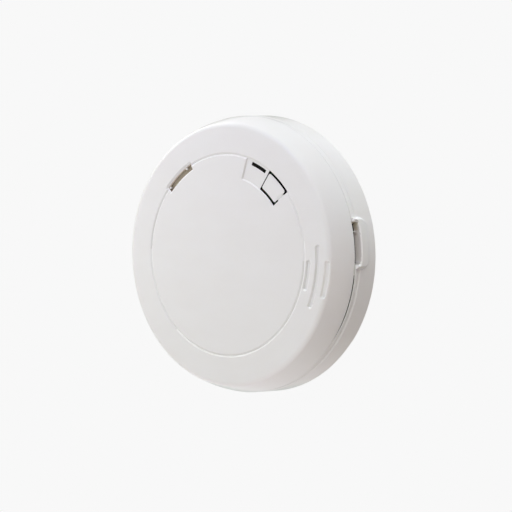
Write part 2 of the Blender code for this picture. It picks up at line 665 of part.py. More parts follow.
def build_chamber():
    at = (*CHAMBER, 0)
    base = turned("chamber_base", BASE_PROFILE, BLACK, 48, at=at)
    # tunnels that aim the emitter and the receiver across the middle
    for name, a in (("emitter", EMITTER_ANGLE), ("receiver", RECEIVER_ANGLE)):
        x, y = polar(TUNNEL_OFFSET, a, CHAMBER)
        join(base, box(f"tunnel_{name}", TUNNEL_SIZE, (x, y, TUNNEL_Z), turn=a))
        cut(base, rod(f"tunnel_bore_{name}", BORE_R, BORE_L, (x, y, OPTIC_Z), turn=(0, 90, a)))
    cap = turned("chamber_cap", CAP_PROFILE, BLACK, 48, at=at)
    for k in range(VANE_COUNT):
        a = 360 * k / VANE_COUNT
        centre = (*polar(VANE_OFFSET, a, CHAMBER), VANE_Z)
        join(cap, box(f"vane_{k + 1}", VANE_SIZE, centre, turn=a + VANE_TURN))
    screen = turned("insect_screen", SCREEN_PROFILE, STEEL, 60, at=at, closed=True)
    for k in range(SCREEN_BARS):
        centre = (*CHAMBER, SCREEN_BAR_Z)
        turn = 180 * k / SCREEN_BARS
        cut(screen, box(f"screen_window_{k + 1}", SCREEN_BAR_SIZE, centre, turn=turn))
    for name, a, material in (
        ("infrared_emitter", EMITTER_ANGLE, DARK_LENS),
        ("photodiode", RECEIVER_ANGLE, BLACK),
    ):
        centre = (*polar(OPTIC_OFFSET, a, CHAMBER), OPTIC_Z)
        turned(name, OPTIC_PROFILE, material, 24, at=centre, turn=(0, -90, a))


# ======================================================================
# battery
# ======================================================================
CELL_HALF = BATTERY_L / 2
CELL_PROFILE = [  # radius, distance along the cell; the raised pole comes first
    (0, CELL_HALF), (2.9, CELL_HALF), (2.9, CELL_HALF - 1.0), (7.6, CELL_HALF - 1.0),
    (BATTERY_R, CELL_HALF - 1.7), (BATTERY_R, -CELL_HALF + 0.5), (7.9, -CELL_HALF),
    (0, -CELL_HALF),
]
CONTACT_GAP = 0.35             # end of the cell to the middle of the tab
CONTACT_SIZE, CONTACT_Z = (0.4, 4.0, 6.6), 15.8
CONTACT_FOOT_SIZE, CONTACT_FOOT_X, CONTACT_FOOT_Z = (3.4, 4.0, 0.4), 1.5, 12.55
PAD_SIZE, PAD_Z = (20.0, 8.0, 1.8), 26.9


def build_battery():
    centre = (*BATTERY, BATTERY_Z)
    turned("lithium_cell", CELL_PROFILE, CELL, 32, at=centre, turn=(0, 90, 0))
    y = BATTERY[1]
    for name, side in (("positive", 1), ("negative", -1)):
        x = BATTERY[0] + side * (CELL_HALF + CONTACT_GAP)
        tab = box(f"battery_tab_{name}", CONTACT_SIZE, (x, y, CONTACT_Z), NICKEL)
        foot_at = (x + side * CONTACT_FOOT_X, y, CONTACT_FOOT_Z)
        join(tab, box(f"tab_foot_{name}", CONTACT_FOOT_SIZE, foot_at))
    box("battery_foam_pad", PAD_SIZE, (*BATTERY, PAD_Z), BLACK, bevel=0.2)


def smooth_parts():
    for piece in parts.objects:
        if piece.type == "MESH":
            piece.data.shade_smooth()
            piece.data.set_sharp_from_angle(angle=math.radians(SHARP_ANGLE))


build_bracket()
build_rear()
build_cover()
build_button()
build_board()
build_screws("board_screw", BOARD_SCREWS, BOARD_SCREW_PROFILE,
             cross_length=2.6, cross_width=0.6, cross_z=14.1)
build_screws("cover_screw", screw_places(), COVER_SCREW_PROFILE,
             cross_length=3.2, cross_width=0.7, cross_z=5.2)
build_chip()
build_capacitor_and_coil()
build_tact_switch()
build_status_light()
build_power_switch()
build_horn()
build_chamber()
build_battery()
smooth_parts()
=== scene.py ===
"""The looks of the slim round smoke alarm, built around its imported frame.

Pieces are drawn in a plate frame in millimetres: x right, y up, z out of the wall, with z = 0 on
the wall. to_world() turns that into the frame's metres, where the alarm looks along -Y.
Angles are in degrees, counter-clockwise from +x. A box is (inner radius, outer radius, first
angle, last angle), a piece of a ring.
"""
import math

import bmesh
import bpy
import numpy as np
from mathutils import Matrix, Vector


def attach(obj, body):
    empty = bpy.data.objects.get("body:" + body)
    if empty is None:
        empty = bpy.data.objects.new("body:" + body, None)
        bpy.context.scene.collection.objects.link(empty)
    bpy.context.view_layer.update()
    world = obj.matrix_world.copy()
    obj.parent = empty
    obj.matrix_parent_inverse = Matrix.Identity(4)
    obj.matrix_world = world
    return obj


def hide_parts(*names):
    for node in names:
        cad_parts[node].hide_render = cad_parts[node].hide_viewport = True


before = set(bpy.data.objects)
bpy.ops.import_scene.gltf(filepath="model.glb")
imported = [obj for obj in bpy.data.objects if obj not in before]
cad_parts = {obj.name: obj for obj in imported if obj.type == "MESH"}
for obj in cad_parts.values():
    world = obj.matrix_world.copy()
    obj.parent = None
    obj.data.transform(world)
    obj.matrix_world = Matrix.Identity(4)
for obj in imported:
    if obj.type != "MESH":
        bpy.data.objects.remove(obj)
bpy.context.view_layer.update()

MM = 0.001
scene = bpy.context.scene
shop = bpy.data.collections.new("cutters")
scene.collection.children.link(shop)

# ---- driving dimensions, from the CAD ----
Z_FACE = 30.2                                   # front of the cover
Z_UNDER = Z_FACE - 2.0                          # back of the cover's face
Z_RIM = 16.0                                    # where the cover meets the rear housing
R_CIRCLE = 50.0                                 # fine groove drawn round the face
R_SHOULDER, R_EDGE, DRAFT = 62.8, 3.0, 17.5     # rounding from the face to the side
R_RIM = 69.4
POCKET = (39.0, 50.45, 37.9, 73.2)
POCKET_D = 0.8
BUTTON = (40.5, 49.05, 39.3, 54.7)
BUTTON_HOLE = (39.3, 50.35, 38.15, 55.5)
LIGHT_SLOT = (47.25, 49.0, 57.7, 68.9)
HORN_SLOT = (47.75, 51.0, 116.8, 138.8)
GRIP_GROOVES = ((52.4, -17.6, -1.3), (57.9, -24.6, 6.0), (63.3, -17.6, -1.1))  # radius, angles
GRIP_HALF = 1.3
VENTS = (5.5, 125.5, -114.5)
LOCKS = (60.0, 180.0, 300.0)
SCREW_R = 60.4
SCREWS = (25.0, 100.0, 200.0, 290.0)
CELL = (-17.0, -31.5, 17.2)                     # middle of the battery
SWITCH_Y = 24.0


# =====================================================================
# geometry helpers
# =====================================================================
def to_world(v):
    v = np.asarray(v, float)
    return np.stack([v[..., 0], -v[..., 2], v[..., 1]], -1) * MM


def centre_mm(polygon):
    """Middle of a polygon in the plate frame."""
    c = polygon.center
    return c.x / MM, c.z / MM, -c.y / MM


def polar(r, deg):
    t = np.radians(deg)
    return r * np.cos(t), r * np.sin(t)


def smooth(a, b, x):
    """Eased rise from 0 at a to 1 at b."""
    t = np.clip((x - a) / (b - a), 0, 1)
    return t * t * (3 - 2 * t)


def fall(a, b, x):
    return 1 - smooth(a, b, x)


def wrap(deg):
    return (deg + 180) % 360 - 180


def place(name, mesh, *mats):
    """An object for the scene, or without materials a tool for combine()."""
    for mat in mats:
        mesh.materials.append(mat)
    o = bpy.data.objects.new(name, mesh)
    (scene.collection if mats else shop).objects.link(o)
    return o


def mesh_from(name, verts, faces, *mats):
    mesh = bpy.data.meshes.new(name)
    mesh.from_pydata(to_world(verts).tolist(), [], faces)
    mesh.validate()
    mesh.update()
    return place(name, mesh, *mats)


def graded(lo, hi, base, fine=(), keep=(), tol=0.05):
    """Grid lines from lo to hi, base apart and closer in the (from, to, step) spans of fine.

    Every value of keep is among them, and no other line lies within tol of it."""
    pts = np.arange(lo, hi + 1e-9, base)
    for a, b, step in fine:
        pts = pts[(pts < a - 1e-9) | (pts > b + 1e-9)]
        count = max(2, int(math.ceil((b - a) / step)) + 1)
        pts = np.concatenate([pts, np.linspace(a, b, count)])
    keep = np.array(sorted(keep), float)
    pts = np.array([p for p in np.unique(np.round(pts, 6))
                    if not len(keep) or np.min(np.abs(keep - p)) > tol])
    pts = np.sort(np.concatenate([pts, keep]))
    out = [pts[0]]
    for p in pts[1:]:
        if p - out[-1] > 1e-5:
            out.append(p)
    return np.array(out)


def round_rect(q0, q1, corner):
    """Distance to a rounded rectangle, from how far a point is outside each pair of its sides."""
    a, b = q0 + corner, q1 + corner
    return np.minimum(np.maximum(a, b), 0) + np.hypot(np.maximum(a, 0), np.maximum(b, 0)) - corner


def sector_distance(r, a, box, corner):
    r0, r1, a0, a1 = box
    dr = np.maximum(r0 - r, r - r1)
    da = np.maximum(a0 - a, a - a1) * math.pi / 180 * np.maximum(r, 1.0)
    return round_rect(dr, da, corner)


# ---- closed skins: rows of (radius, z) round the axis, the first and last row a single point ----
def ring_points(r, z, angles, at=(0, 0)):
    x, y = polar(r, angles)
    return list(zip(x + at[0], y + at[1], np.broadcast_to(z, x.shape)))


def skin_verts(rows, angles, at=(0, 0)):
    verts = [(*at, rows[0][1])]
    for r, z in rows[1:-1]:
        verts += ring_points(r, z, angles, at)
    return verts + [(*at, rows[-1][1])]


def skin_id(row, col, cols):
    return 0 if row == 0 else 1 + (row - 1) * cols + col % cols


def skin_faces(rows, cols, masked=None):
    faces = []
    end = skin_id(rows - 1, 0, cols)
    for i in range(rows - 1):
        for j in range(cols):
            if masked is not None and masked[i, j]:
                continue
            a, b = skin_id(i, j, cols), skin_id(i, j + 1, cols)
            c, d = skin_id(i + 1, j, cols), skin_id(i + 1, j + 1, cols)
            if i == rows - 2:
                faces.append((a, end, b))
            elif i == 0:
                faces.append((0, c, d))
            else:
                faces.append((a, c, d, b))
    return faces


def turned(name, profile, seg, at=(0, 0)):
    """A tool: a profile of (radius, z) turned about z, starting and ending on the axis."""
    angles = 360.0 * np.arange(seg) / seg
    return mesh_from(name, skin_verts(profile, angles, at), skin_faces(len(profile), seg))


def turned_ring(name, profile, seg):
    """A tool: a closed profile of (radius, z) turned about z."""
    angles = 360.0 * np.arange(seg) / seg
    verts, faces = [], []
    for i, (r, z) in enumerate(profile):
        verts += ring_points(r, z, angles)
        here, following = i * seg, (i + 1) % len(profile) * seg
        for j in range(seg):
            k = (j + 1) % seg
            faces.append((here + j, following + j, following + k, here + k))
    return mesh_from(name, verts, faces)


# ---- flat outlines ----
def arc(radius, start, end, steps, centre=(0, 0)):
    x, y = polar(radius, np.linspace(start, end, steps + 1))
    return [(float(px + centre[0]), float(py + centre[1])) for px, py in zip(x, y)]


def outline_sector(r0, r1, a0, a1, corner=0.0, step=1.0):
    """A piece of a ring with rounded corners."""
    steps = max(2, int(math.ceil((a1 - a0) / step)))
    if not corner:
        return arc(r1, a0, a1, steps) + arc(r0, a1, a0, steps)

    def rounding(r, a, side_r, side_a, start):
        rc = r - side_r * corner
        ac = a - side_a * math.degrees(corner / rc)
        return arc(corner, ac + start, ac + start + 90, 5, polar(rc, ac)), ac

    p1, b1 = rounding(r1, a0, 1, -1, -90)
    p2, b2 = rounding(r1, a1, 1, 1, 0)
    p3, b3 = rounding(r0, a1, -1, 1, 90)
    p4, b4 = rounding(r0, a0, -1, -1, 180)
    return p1 + arc(r1, b1, b2, steps)[1:-1] + p2 + p3 + arc(r0, b3, b4, steps)[1:-1] + p4


def outline_arc_slot(rc, a0, a1, width):
    half = width / 2
    tip = math.degrees(half / rc)
    b0, b1 = a0 + tip, a1 - tip
    steps = max(2, int(math.ceil(b1 - b0)))
    return (arc(rc + half, b0, b1, steps)
            + arc(half, b1, b1 + 180, 12, polar(rc, b1))[1:-1]
            + arc(rc - half, b1, b0, steps)
            + arc(half, b0 + 180, b0 + 360, 12, polar(rc, b0))[1:-1])


def outline_keyhole(rc, a0, width, key_a, key_r):
    """An arc slot that opens into a round hole, the outline of both together."""
    half = width / 2
    b0 = a0 + math.degrees(half / rc)
    b1 = key_a - math.degrees(math.asin(math.sqrt(key_r ** 2 - half ** 2) / rc))
    mouth = math.degrees(math.asin(half / key_r))
    return (arc(rc + half, b0, b1, 13)
            + arc(key_r, key_a + 90 - mouth, key_a - 180 + mouth, 39, polar(rc, key_a))[1:-1]
            + arc(rc - half, b1, b0, 13)
            + arc(half, b0 + 180, b0 + 360, 10, polar(rc, b0))[1:-1])


# ---- solids ----
def plate(name, outline, z0, z1, *mats, holes=(), bevel=0.2):
    """A flat outline with holes, thick from z0 to z1, its edges rounded by bevel."""
    data = bpy.data.curves.new(name, "CURVE")
    data.dimensions = "2D"
    data.fill_mode = "BOTH"
    data.extrude = ((z1 - z0) / 2 - bevel) * MM
    if bevel:
        data.bevel_depth = bevel * MM
        data.bevel_resolution = 3
        data.offset = -bevel * MM
    for ring in (outline, *holes):
        spline = data.splines.new("POLY")
        spline.points.add(len(ring) - 1)
        for point, (x, y) in zip(spline.points, ring):
            point.co = (x * MM, y * MM, 0, 1)
        spline.use_cyclic_u = True
    curve = bpy.data.objects.new(name + "_outline", data)
    shop.objects.link(curve)
    bpy.context.view_layer.update()
    graph = bpy.context.evaluated_depsgraph_get()
    mesh = bpy.data.meshes.new_from_object(curve.evaluated_get(graph))
    mesh.name = name
    bpy.data.objects.remove(curve)
    bm = bmesh.new()
    bm.from_mesh(mesh)
    bmesh.ops.remove_doubles(bm, verts=bm.verts, dist=0.000002)
    middle = -(z0 + z1) / 2 * MM
    turn = Matrix(((1, 0, 0, 0), (0, 0, -1, middle), (0, 1, 0, 0), (0, 0, 0, 1)))
    bmesh.ops.transform(bm, matrix=turn, verts=bm.verts)
    bmesh.ops.recalc_face_normals(bm, faces=bm.faces)
    bm.to_mesh(mesh)
    bm.free()
    return place(name, mesh, *mats)


def block(name, size, centre, *mats, turn=0.0, bevel=0.0, seg=2):
    bm = bmesh.new()
    bmesh.ops.create_cube(bm, size=1.0)
    bmesh.ops.scale(bm, vec=Vector(size), verts=bm.verts)
    if bevel:
        bmesh.ops.bevel(bm, geom=bm.edges[:], offset=bevel, segments=seg, profile=0.5,
                        affect="EDGES")
    spin = Matrix.Rotation(math.radians(turn), 3, "Z")
    bmesh.ops.rotate(bm, cent=(0, 0, 0), matrix=spin, verts=bm.verts)
    bmesh.ops.translate(bm, vec=Vector(centre), verts=bm.verts)
    for v in bm.verts:
        v.co = Vector((v.co.x, -v.co.z, v.co.y)) * MM
    mesh = bpy.data.meshes.new(name)
    bmesh.ops.recalc_face_normals(bm, faces=bm.faces)
    bm.to_mesh(mesh)
    bm.free()
    return place(name, mesh, *mats)


def combine(o, tools, op):
    """Joins or cuts o by each of the tools, and keeps the result as o's mesh."""
    for tool in tools:
        m = o.modifiers.new("op", "BOOLEAN")
        m.operation = op
        m.solver = "EXACT"
        m.object = tool
    bpy.context.view_layer.update()
    graph = bpy.context.evaluated_depsgraph_get()
    mesh = bpy.data.meshes.new_from_object(o.evaluated_get(graph))
    old = o.data
    o.modifiers.clear()
    o.data = mesh
    bpy.data.meshes.remove(old)
    for tool in tools:
        bpy.data.objects.remove(tool)


def finish(o, body, part):
    """Shades a piece and tells the frame what it moves with and what it replaces."""
    o.data.shade_smooth()
    o.data.set_sharp_from_angle(angle=math.radians(38))
    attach(o, body)
    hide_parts(part)


# =====================================================================
# materials
# =====================================================================
class Net:
    """A small helper to wire a node material."""

    def __init__(self, name):
        self.m = bpy.data.materials.new(name)
        self.m.use_nodes = True
        self.t = self.m.node_tree
        self.p = self.t.nodes["Principled BSDF"]
        self.coord = self.t.nodes.new("ShaderNodeTexCoord").outputs["Object"]

    def node(self, kind, **sets):
        """A new node, with its inputs or its properties set by name."""
        n = self.t.nodes.new(kind)
        for k, v in sets.items():
            if k in n.inputs:
                n.inputs[k].default_value = v
            else:
                setattr(n, k, v)
        return n

    def link(self, a, b):
        self.t.links.new(a, b)

    def feed(self, **sockets):
        """Links outputs to the shader's inputs, a _ in a name standing for a space."""
        for name, source in sockets.items():
            self.link(source, self.p.inputs[name.replace("_", " ")])

    def stretched(self, scale):
        mapping = self.node("ShaderNodeMapping", Scale=scale)
        self.link(self.coord, mapping.inputs["Vector"])
        return mapping.outputs["Vector"]

    def texture(self, kind, output, source, **sets):
        n = self.node(kind, **sets)
        self.link(source, n.inputs["Vector"])
        return n.outputs[output]

    def noise(self, scale, detail=3.0, rough=0.5, stretch=None):
        source = self.stretched(stretch) if stretch else self.coord
        return self.texture("ShaderNodeTexNoise", "Fac", source,
                            Scale=scale, Detail=detail, Roughness=rough)

    def remap(self, value, span, to=(0.0, 1.0)):
        n = self.node("ShaderNodeMapRange")
        for side, pair in (("From", span), ("To", to)):
            n.inputs[side + " Min"].default_value = pair[0]
            n.inputs[side + " Max"].default_value = pair[1]
        self.link(value, n.inputs["Value"])
        return n.outputs["Result"]

    def mix(self, fac, a, b):
        """A blend of two colours, each a tuple or an output."""
        n = self.node("ShaderNodeMix", data_type="RGBA")
        for socket, colour in ((n.inputs[6], a), (n.inputs[7], b)):
            if isinstance(colour, tuple):
                socket.default_value = (*colour, 1.0)
            else:
                self.link(colour, socket)
        self.link(fac, n.inputs[0])
        return n.outputs[2]

    def bump(self, *layers):
        """Each layer is (height, strength, distance in metres), the finest last."""
        last = None
        for height, strength, distance in layers:
            b = self.node("ShaderNodeBump", Strength=strength, Distance=distance)
            self.link(height, b.inputs["Height"])
            if last:
                self.link(last, b.inputs["Normal"])
            last = b.outputs["Normal"]
        self.feed(Normal=last)


def dimmed(colour, share):
    return tuple(c * share for c in colour)


def plastic(name, base, rough=0.42, tint=0.015, grain=0.25, sss=0.06, corner_shade=0.06, spec=0.5,
            edge=0.0):
    """Moulded plastic: eroded grain, faint flow marks tinted warm, translucency (sss), painted shade
    in its corners (corner_shade) and painted shade where it turns away from view (edge)."""
    n = Net(name)
    warm = tuple(max(0.0, c * (1 - tint) - k * 0.004) for k, c in enumerate(base))
    flow = n.noise(38.0, rough=0.55, stretch=(1.0, 1.0, 2.2))
    fine = n.noise(950.0, detail=4.0, rough=0.6)
    colour = n.mix(n.remap(flow, span=(0.35, 0.65)), base, warm)
    colour = n.mix(n.remap(fine, span=(0.25, 0.75), to=(0.0, 0.35)), colour, dimmed(base, 0.965))
    # painted shade: the colour darkens towards a darker copy where ambient occlusion finds corners,
    # creases and recesses
    if corner_shade:
        ao = n.node("ShaderNodeAmbientOcclusion", Distance=0.0025, samples=4)
        painted_corner_shade = n.remap(ao.outputs["AO"], span=(0.15, 0.75), to=(corner_shade, 0.0))
        colour = n.mix(painted_corner_shade, colour, dimmed(base, 0.62))
    # painted shade: the colour darkens where the surface turns away from view, standing in for a
    # dark edge at the silhouette
    if edge:
        facing = n.node("ShaderNodeLayerWeight", Blend=0.5).outputs["Facing"]
        painted_rim_shade = n.remap(facing, span=(0.80, 0.93), to=(0.0, edge))
        colour = n.mix(painted_rim_shade, colour, dimmed(base, 0.4))
    patches = n.remap(n.noise(210.0), span=(0.3, 0.7), to=(rough - 0.05, rough + 0.07))
    n.feed(Base_Color=colour, Roughness=patches)
    n.p.inputs["IOR"].default_value = 1.47
    n.p.inputs["Specular IOR Level"].default_value = spec
    if sss:
        n.p.inputs["Subsurface Weight"].default_value = sss
        n.p.inputs["Subsurface Radius"].default_value = (1.0, 0.85, 0.7)
        n.p.inputs["Subsurface Scale"].default_value = 0.0012
    n.bump((n.noise(140.0, detail=2.0), 0.10, 0.00004), (n.noise(4200.0, rough=0.6), grain, 0.00002))
    return n.m


def metal(name, base, rough, brush=(1.0, 1.0, 1.0), stain=(0.8, 0.78, 0.75)):
    """Metal with streaks stretched by brush and clouds coloured by stain."""
    n = Net(name)
    streak = n.noise(900.0, detail=4.0, rough=0.6, stretch=brush)
    cloud = n.noise(160.0, detail=4.0, rough=0.6)
    stained = tuple(b * s for b, s in zip(base, stain))
    colour = n.mix(n.remap(cloud, span=(0.35, 0.7), to=(0.0, 0.45)), base, stained)
    colour = n.mix(n.remap(streak, span=(0.3, 0.7), to=(0.0, 0.25)), colour, dimmed(base, 0.8))
    n.feed(Base_Color=colour,
           Roughness=n.remap(streak, span=(0.3, 0.7), to=(rough - 0.06, rough + 0.1)))
    n.p.inputs["Metallic"].default_value = 1.0
    n.bump((cloud, 0.1, 0.00003), (streak, 0.2, 0.00001))
    return n.m


def gloss(name, base, other, rough, spec=0.5, trans=0.0):
    """A glossy skin clouded between two colours; trans lets light through."""
    n = Net(name)
    n.feed(Base_Color=n.mix(n.remap(n.noise(300.0, detail=4.0), span=(0.35, 0.65)), base, other),
           Roughness=n.remap(n.noise(600.0), span=(0.3, 0.7), to=(rough, rough + 0.08)))
    n.p.inputs["Specular IOR Level"].default_value = spec
    n.p.inputs["Transmission Weight"].default_value = trans
    n.bump((n.noise(180.0, detail=2.0), 0.06, 0.00003), (n.noise(3800.0, detail=2.0), 0.08, 0.00001))
    return n.m


def laminate(name):
    """Solder mask over copper tracks and glass weave."""
    n = Net(name)
    flat = n.stretched((1.0, 0.0, 1.0))
    tracks = n.texture("ShaderNodeTexVoronoi", "Distance", flat, Scale=260.0,
                       feature="DISTANCE_TO_EDGE", distance="MANHATTAN")
    weave = n.texture("ShaderNodeTexWave", "Fac", flat, Scale=900.0, Distortion=0.6)
    line = n.remap(tracks, span=(0.05, 0.09), to=(1.0, 0.0))
    mask = n.remap(n.noise(50.0), span=(0.3, 0.7))
    colour = n.mix(mask, (0.012, 0.11, 0.045), (0.02, 0.16, 0.07))
    colour = n.mix(line, colour, (0.05, 0.26, 0.10))
    colour = n.mix(n.remap(weave, span=(0.0, 1.0), to=(0.0, 0.12)), colour, (0.10, 0.28, 0.12))
    n.feed(Base_Color=colour)
    n.p.inputs["Roughness"].default_value = 0.32
    n.bump((line, 0.3, 0.00003), (weave, 0.1, 0.00001))
    return n.m


def winding(name):
    """Lacquered copper wire, laid turn by turn."""
    n = Net(name)
    turns = n.texture("ShaderNodeTexWave", "Fac", n.stretched((0.0, 1.0, 0.0)),
                      Scale=620.0, Distortion=0.0, bands_direction="Y")
    n.feed(Base_Color=n.mix(turns, (0.16, 0.05, 0.02), (0.62, 0.25, 0.09)),
           Roughness=n.remap(n.noise(400.0), span=(0.3, 0.7), to=(0.22, 0.38)))
    n.p.inputs["Metallic"].default_value = 0.85
    n.bump((turns, 0.6, 0.0001))
    return n.m


def foam(name):
    n = Net(name)
    cells = n.texture("ShaderNodeTexVoronoi", "Distance", n.coord, Scale=2200.0)
    n.feed(Base_Color=n.mix(cells, (0.015, 0.015, 0.016), (0.06, 0.06, 0.06)))
    n.p.inputs["Roughness"].default_value = 0.95
    n.bump((cells, 0.7, 0.0002))
    return n.m


SHELL = plastic("shell_white", (0.830, 0.822, 0.818), rough=0.40, edge=0.45)
SHELL_REAR = plastic("rear_white", (0.825, 0.815, 0.808), edge=0.45)
BRACKET = plastic("bracket_white", (0.79, 0.78, 0.765), rough=0.48, tint=0.02, grain=0.4)
# painted shade: a warm tan for white plastic seen deep in shade
TAN_SHADE = plastic("inner_tan_painted_shade", (0.40, 0.345, 0.275), rough=0.6, corner_shade=0.15, sss=0.0)
# painted shade: near black, for the walls of narrow gaps and holes, where only shade would show
GAP_SHADE = plastic("painted_gap_shade", (0.004, 0.004, 0.004), rough=0.7, grain=0.3, sss=0.0, corner_shade=0.0,
                   spec=0.1)
# painted highlight: near white, for small slopes that face the light
PAINTED_HIGHLIGHT = plastic("painted_highlight_white", (0.97, 0.965, 0.96), rough=0.3, grain=0.1, sss=0.0, corner_shade=0.0)
# painted shade: a darker copy of the white, for small slopes that face away from the light
GROOVE_SHADE = plastic("painted_groove_shade", (0.74, 0.73, 0.72), rough=0.5, corner_shade=0.1)
# painted light: a light tan for the horn slot's outer wall, which lies in shade
HORN_WALL_LIGHT = plastic("horn_wall_painted_light", (0.93, 0.83, 0.70), rough=0.6, corner_shade=0.0, sss=0.0)
# painted shade: a grey for the white plastic inside each vent's recess
VENT_SHADE = plastic("vent_painted_shade", (0.575, 0.54, 0.54), rough=0.55, sss=0.0, corner_shade=0.1)
# painted shade: a darker tan for the vent's inside above its bar
VENT_TAN_SHADE = plastic("vent_tan_painted_shade", (0.54, 0.48, 0.41), rough=0.6, corner_shade=0.15, sss=0.0)
# painted shade: a darker copy of the rear white, for faces that look away from the light
SHADE = plastic("rear_white_painted_shade", (0.66, 0.65, 0.64), rough=0.5, corner_shade=0.1)
BLACK = plastic("black_moulding", (0.018, 0.018, 0.019), rough=0.45, grain=0.5, sss=0.0, corner_shade=0.0)
PIPE = gloss("smoked_light_pipe", (0.006, 0.0055, 0.005), (0.014, 0.012, 0.010), rough=0.25,
             spec=0.15)
SLEEVE = gloss("cell_sleeve", (0.05, 0.09, 0.20), (0.07, 0.12, 0.26), rough=0.22)
CAPACITOR = gloss("capacitor_sleeve", (0.025, 0.03, 0.045), (0.04, 0.045, 0.06), rough=0.25)
LED = gloss("led_epoxy", (0.80, 0.84, 0.83), (0.72, 0.78, 0.77), rough=0.06, trans=0.7)
INFRARED = gloss("infrared_epoxy", (0.03, 0.012, 0.035), (0.05, 0.02, 0.05), rough=0.08)
STEEL = metal("zinc_steel", (0.62, 0.62, 0.60), rough=0.34)
NICKEL = metal("nickel_strip", (0.72, 0.70, 0.65), rough=0.26, brush=(1, 6, 1))
BRASS = metal("horn_brass", (0.70, 0.51, 0.22), rough=0.3, brush=(8, 1, 1), stain=(0.7, 0.62, 0.5))
CERAMIC = plastic("piezo_ceramic", (0.72, 0.70, 0.66), rough=0.55, sss=0.0)
LAMINATE = laminate("board_laminate")
COPPER = winding("copper_winding")
FOAM = foam("closed_cell_foam")


# =====================================================================
# front cover: one closed skin on a polar grid, with every opening cut to grid lines
# =====================================================================
def shoulder(r):
    s = np.clip((r - R_SHOULDER) / R_EDGE, 0, 0.9999)
    return Z_FACE - R_EDGE * (1 - np.sqrt(1 - s * s))


def grip_depth(r, a, groove):
    """A finger groove, steep on its inner side and a longer ramp on its outer side."""
    rc, a0, a1 = groove
    tip = math.degrees(GRIP_HALF / rc)
    b0, b1 = a0 + tip, a1 - tip
    inside = (a >= b0) & (a <= b1)
    x, y = polar(r, a)
    end_x, end_y = polar(rc, np.where(a < b0, b0, b1))
    dist = np.where(inside, np.abs(r - rc), np.hypot(x - end_x, y - end_y))
    outer = np.clip((r - rc) / 0.6, 0, 1)
    run = np.where(inside, 0.85, 0.75)
    steep = fall(GRIP_HALF - 0.62, GRIP_HALF + 0.02, dist)
    ramp = 1 - np.clip((dist - (GRIP_HALF - 0.72 * run)) / run, 0, 1)
    return steep * (1 - outer) + ramp * outer


def horn_depth(r, a):
    """Edges of the horn slot: a long chamfer outside it, a small one on its other sides."""
    chamfer_r, reach, mm_per_degree = 52.1, 0.45, 0.88
    small = 0.5 * fall(0.0, 0.75, sector_distance(r, a, HORN_SLOT, 0.02))
    span = smooth(-0.7, 0.15, (a - HORN_SLOT[2] + reach) * mm_per_degree)
    span = span * smooth(-0.7, 0.15, (HORN_SLOT[3] + reach - a) * mm_per_degree)
    slope = np.clip((chamfer_r - r) / (chamfer_r - HORN_SLOT[1]), 0, 1) * (r > 50.0)
    return np.maximum(small, 0.85 * slope * span)


def face_depth(r, a):
    """How far the cover's face is cut down at a radius and at each of the angles a."""
    circle = 0.5 * np.clip(1.12 - 1.12 * np.abs(r - R_CIRCLE) / 0.82, 0, 1)
    pocket = POCKET_D * fall(-0.42, 0.2, sector_distance(r, a, POCKET, 0.6))
    d = np.maximum(circle, pocket)
    for groove in GRIP_GROOVES:
        d = np.maximum(d, grip_depth(r, a, groove))
    d = np.maximum(d, horn_depth(r, a))
    # small roundings below the pocket's floor
    for box, depth, width in ((LIGHT_SLOT, 0.12, 0.16), (BUTTON_HOLE, 0.10, 0.12)):
        dist = sector_distance(r, a, box, 0.02)
        lip = depth * fall(0.0, width, dist)
        d = np.where(dist < width, np.maximum(d, pocket + lip), d)
    return d


def paint_light_and_shade(o, highlight_slot, shade_slot):
    """Paints light and shade on small slopes of the face: those that look up and to the left,
    towards the light, take the painted highlight slot, and those that look down and to the right the
    painted shade slot."""
    for p in o.data.polygons:
        x, y, z = centre_mm(p)
        r = math.hypot(x, y)
        nx, ny, nz = p.normal.x, p.normal.z, -p.normal.y
        if p.material_index == 0 and r < 64.4 and z > 28.4 and 0.15 < nz < 0.985:
            if r > 62.0 and nx * x + ny * y > 0:
                continue
            lean = -0.5 * nx + 0.87 * ny
            if lean > 0.2:
                p.material_index = highlight_slot
            elif lean < -0.3:
                p.material_index = shade_slot


COVER_MATS = (SHELL, GAP_SHADE, TAN_SHADE, HORN_WALL_LIGHT, PAINTED_HIGHLIGHT, GROOVE_SHADE)
IN_GAP_SHADE, IN_TAN_SHADE, IN_HORN_LIGHT, IN_HIGHLIGHT, IN_GROOVE_SHADE = range(1, 6)
# the hole walls are painted shade: near black in the button hole and light slot, tan in the horn
# slot
HOLES = ((BUTTON_HOLE, IN_GAP_SHADE), (LIGHT_SLOT, IN_GAP_SHADE), (HORN_SLOT, IN_TAN_SHADE))

# spans of closer grid lines: from, to, step
COVER_FINE_A = [
    (-26.2, -22.3, 0.17), (-19.3, -15.4, 0.17), (-3.6, 0.4, 0.17), (3.8, 7.6, 0.17),
    (36.9, 39.2, 0.12), (54.7, 58.2, 0.15), (68.4, 69.6, 0.12), (72.1, 73.9, 0.12),
    (115.4, 117.4, 0.12), (137.2, 139.2, 0.12),
]
COVER_FINE_R = [
    (38.3, 39.8, 0.1), (46.7, 47.7, 0.1), (48.7, 52.3, 0.1), (52.3, 53.9, 0.16),
    (56.6, 59.4, 0.16), (61.9, 64.7, 0.14),
]
angles = graded(-180.0, 178.6, 1.25, COVER_FINE_A, [a for box, _ in HOLES for a in box[2:]])
r_lines = graded(4.0, 64.7, 2.0, COVER_FINE_R, [r for box, _ in HOLES for r in box[:2]])
cols = len(angles)

